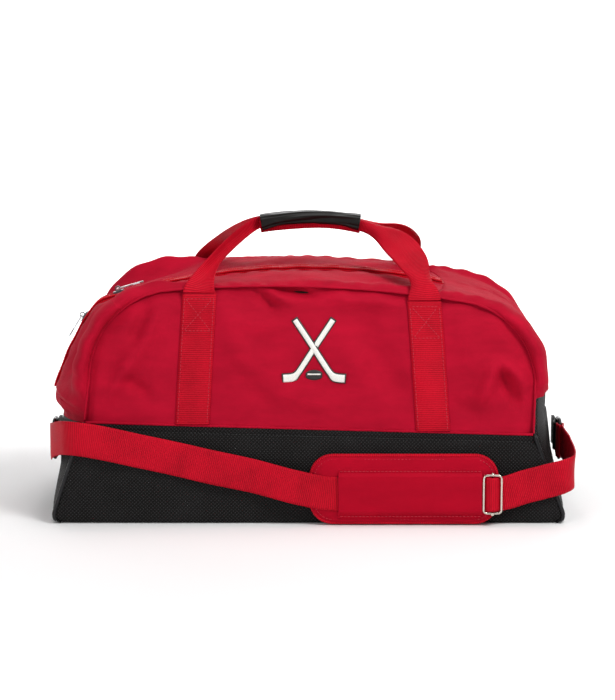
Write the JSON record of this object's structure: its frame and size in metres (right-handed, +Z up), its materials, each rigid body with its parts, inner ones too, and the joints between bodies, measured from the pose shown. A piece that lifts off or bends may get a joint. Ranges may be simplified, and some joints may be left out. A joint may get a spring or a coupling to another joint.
{
  "type": "hockey equipment bag",
  "caption": "Soft arched holdall on a black base, with a curved top zip, two carrying handles joined by a padded grip, and a padded shoulder strap on rings.",
  "frame": {"origin": "on the ground under the middle of the bag", "axes": "+X along the bag to the right, +Y from its front to its back, +Z up"},
  "size_m": [0.6251, 0.3222, 0.3545],
  "materials": {
    "red_cloth": "woven polyester",
    "webbing_red": "ribbed webbing",
    "zip_red": "zip tape and coil",
    "black_cloth": "coarse coated weave",
    "black_piping": "satin",
    "grip_black": "padded wrap",
    "board_grey": "matte",
    "steel_bright": "polished",
    "slider_metal": "dark enamel",
    "ring_black": "satin",
    "thread_white": "embroidery",
    "thread_black": "embroidery"
  },
  "bodies": {
    "bag": {"base_panel": "black_cloth", "base_board": "board_grey", "base_band_front": "black_cloth", "base_band_back": "black_cloth", "end_panel_left": "black_cloth", "end_panel_right": "black_cloth", "corner_piping_front_left": "black_piping", "corner_piping_front_right": "black_piping", "corner_piping_back_left": "black_piping", "corner_piping_back_right": "black_piping", "front_panel": "red_cloth", "back_panel": "red_cloth", "seam_binding_front": "black_cloth", "seam_binding_back": "black_cloth", "gusset_front": "red_cloth", "gusset_back": "red_cloth", "gusset_right": "red_cloth", "gusset_left_foot": "red_cloth", "zip_tape_front": "zip_red", "zip_tape_back": "zip_red", "zip_coil_front": "zip_red", "zip_coil_back": "zip_red", "zip_end_tab_left": "red_cloth", "zip_end_tab_right": "red_cloth", "handle_leg_front_left": "webbing_red", "handle_loop_front_left": "webbing_red", "handle_leg_front_right": "webbing_red", "handle_loop_front_right": "webbing_red", "handle_leg_back_left": "webbing_red", "handle_loop_back_left": "webbing_red", "handle_leg_back_right": "webbing_red", "handle_loop_back_right": "webbing_red", "ring_tab_left": "black_cloth", "ring_tab_right": "black_cloth", "emblem_sticks": "thread_white", "emblem_puck": "thread_black"},
    "grip": {"handle_grip": "grip_black", "handle_core_front": "webbing_red", "handle_core_back": "webbing_red"},
    "slider_top": {"zip_slider_top": "slider_metal"},
    "puller_top": {"zip_puller_top": "steel_bright"},
    "slider_end": {"zip_slider_end": "slider_metal"},
    "puller_end": {"zip_puller_end": "steel_bright"},
    "strap": {"strap_webbing": "webbing_red", "strap_fold_left": "webbing_red", "strap_fold_right": "webbing_red", "strap_ring_left": "ring_black", "strap_ring_right": "ring_black"},
    "pad": {"strap_pad": "red_cloth", "pad_sleeve": "red_cloth"},
    "adjuster": {"adjuster_frame": "steel_bright", "adjuster_bar": "steel_bright"}
  },
  "joints": [
    {"name": "handle_lift", "type": "slide", "parent": "bag", "child": "grip", "axis": [0, 0, 1], "range_m": [0, 0.018], "deforming": ["handle_loop_front_left", "handle_loop_front_right", "handle_loop_back_left", "handle_loop_back_right"]},
    {"name": "zip_top_slide", "type": "hinge", "parent": "bag", "child": "slider_top", "pos_m": [0, 0, -0.516], "axis": [0, 1, 0], "range_deg": [0, 27]},
    {"name": "puller_top_swing", "type": "hinge", "parent": "slider_top", "child": "puller_top", "pos_m": [-0.22937, 0, 0.25834], "axis": [0, -1, 0], "range_deg": [0, 150]},
    {"name": "zip_end_slide", "type": "hinge", "parent": "bag", "child": "slider_end", "pos_m": [0.03948, 0, 0.03302], "axis": [0, -1, 0], "range_deg": [0, 11.8]},
    {"name": "puller_end_swing", "type": "hinge", "parent": "slider_end", "child": "puller_end", "pos_m": [-0.27294, 0, 0.22672], "axis": [0, 1, 0], "range_deg": [0, 150]},
    {"name": "strap_lift", "type": "hinge", "parent": "bag", "child": "strap", "pos_m": [0, -0.018, 0.078], "axis": [-1, 0, 0], "range_deg": [0, 12]},
    {"name": "pad_slide", "type": "slide", "parent": "strap", "child": "pad", "axis": [-1, 0, 0], "range_m": [0, 0.016]},
    {"name": "adjuster_rock", "type": "hinge", "parent": "strap", "child": "adjuster", "pos_m": [0.215, -0.1659, 0.038], "axis": [0, 0, 1], "range_deg": [-5, 5]}
  ]
}
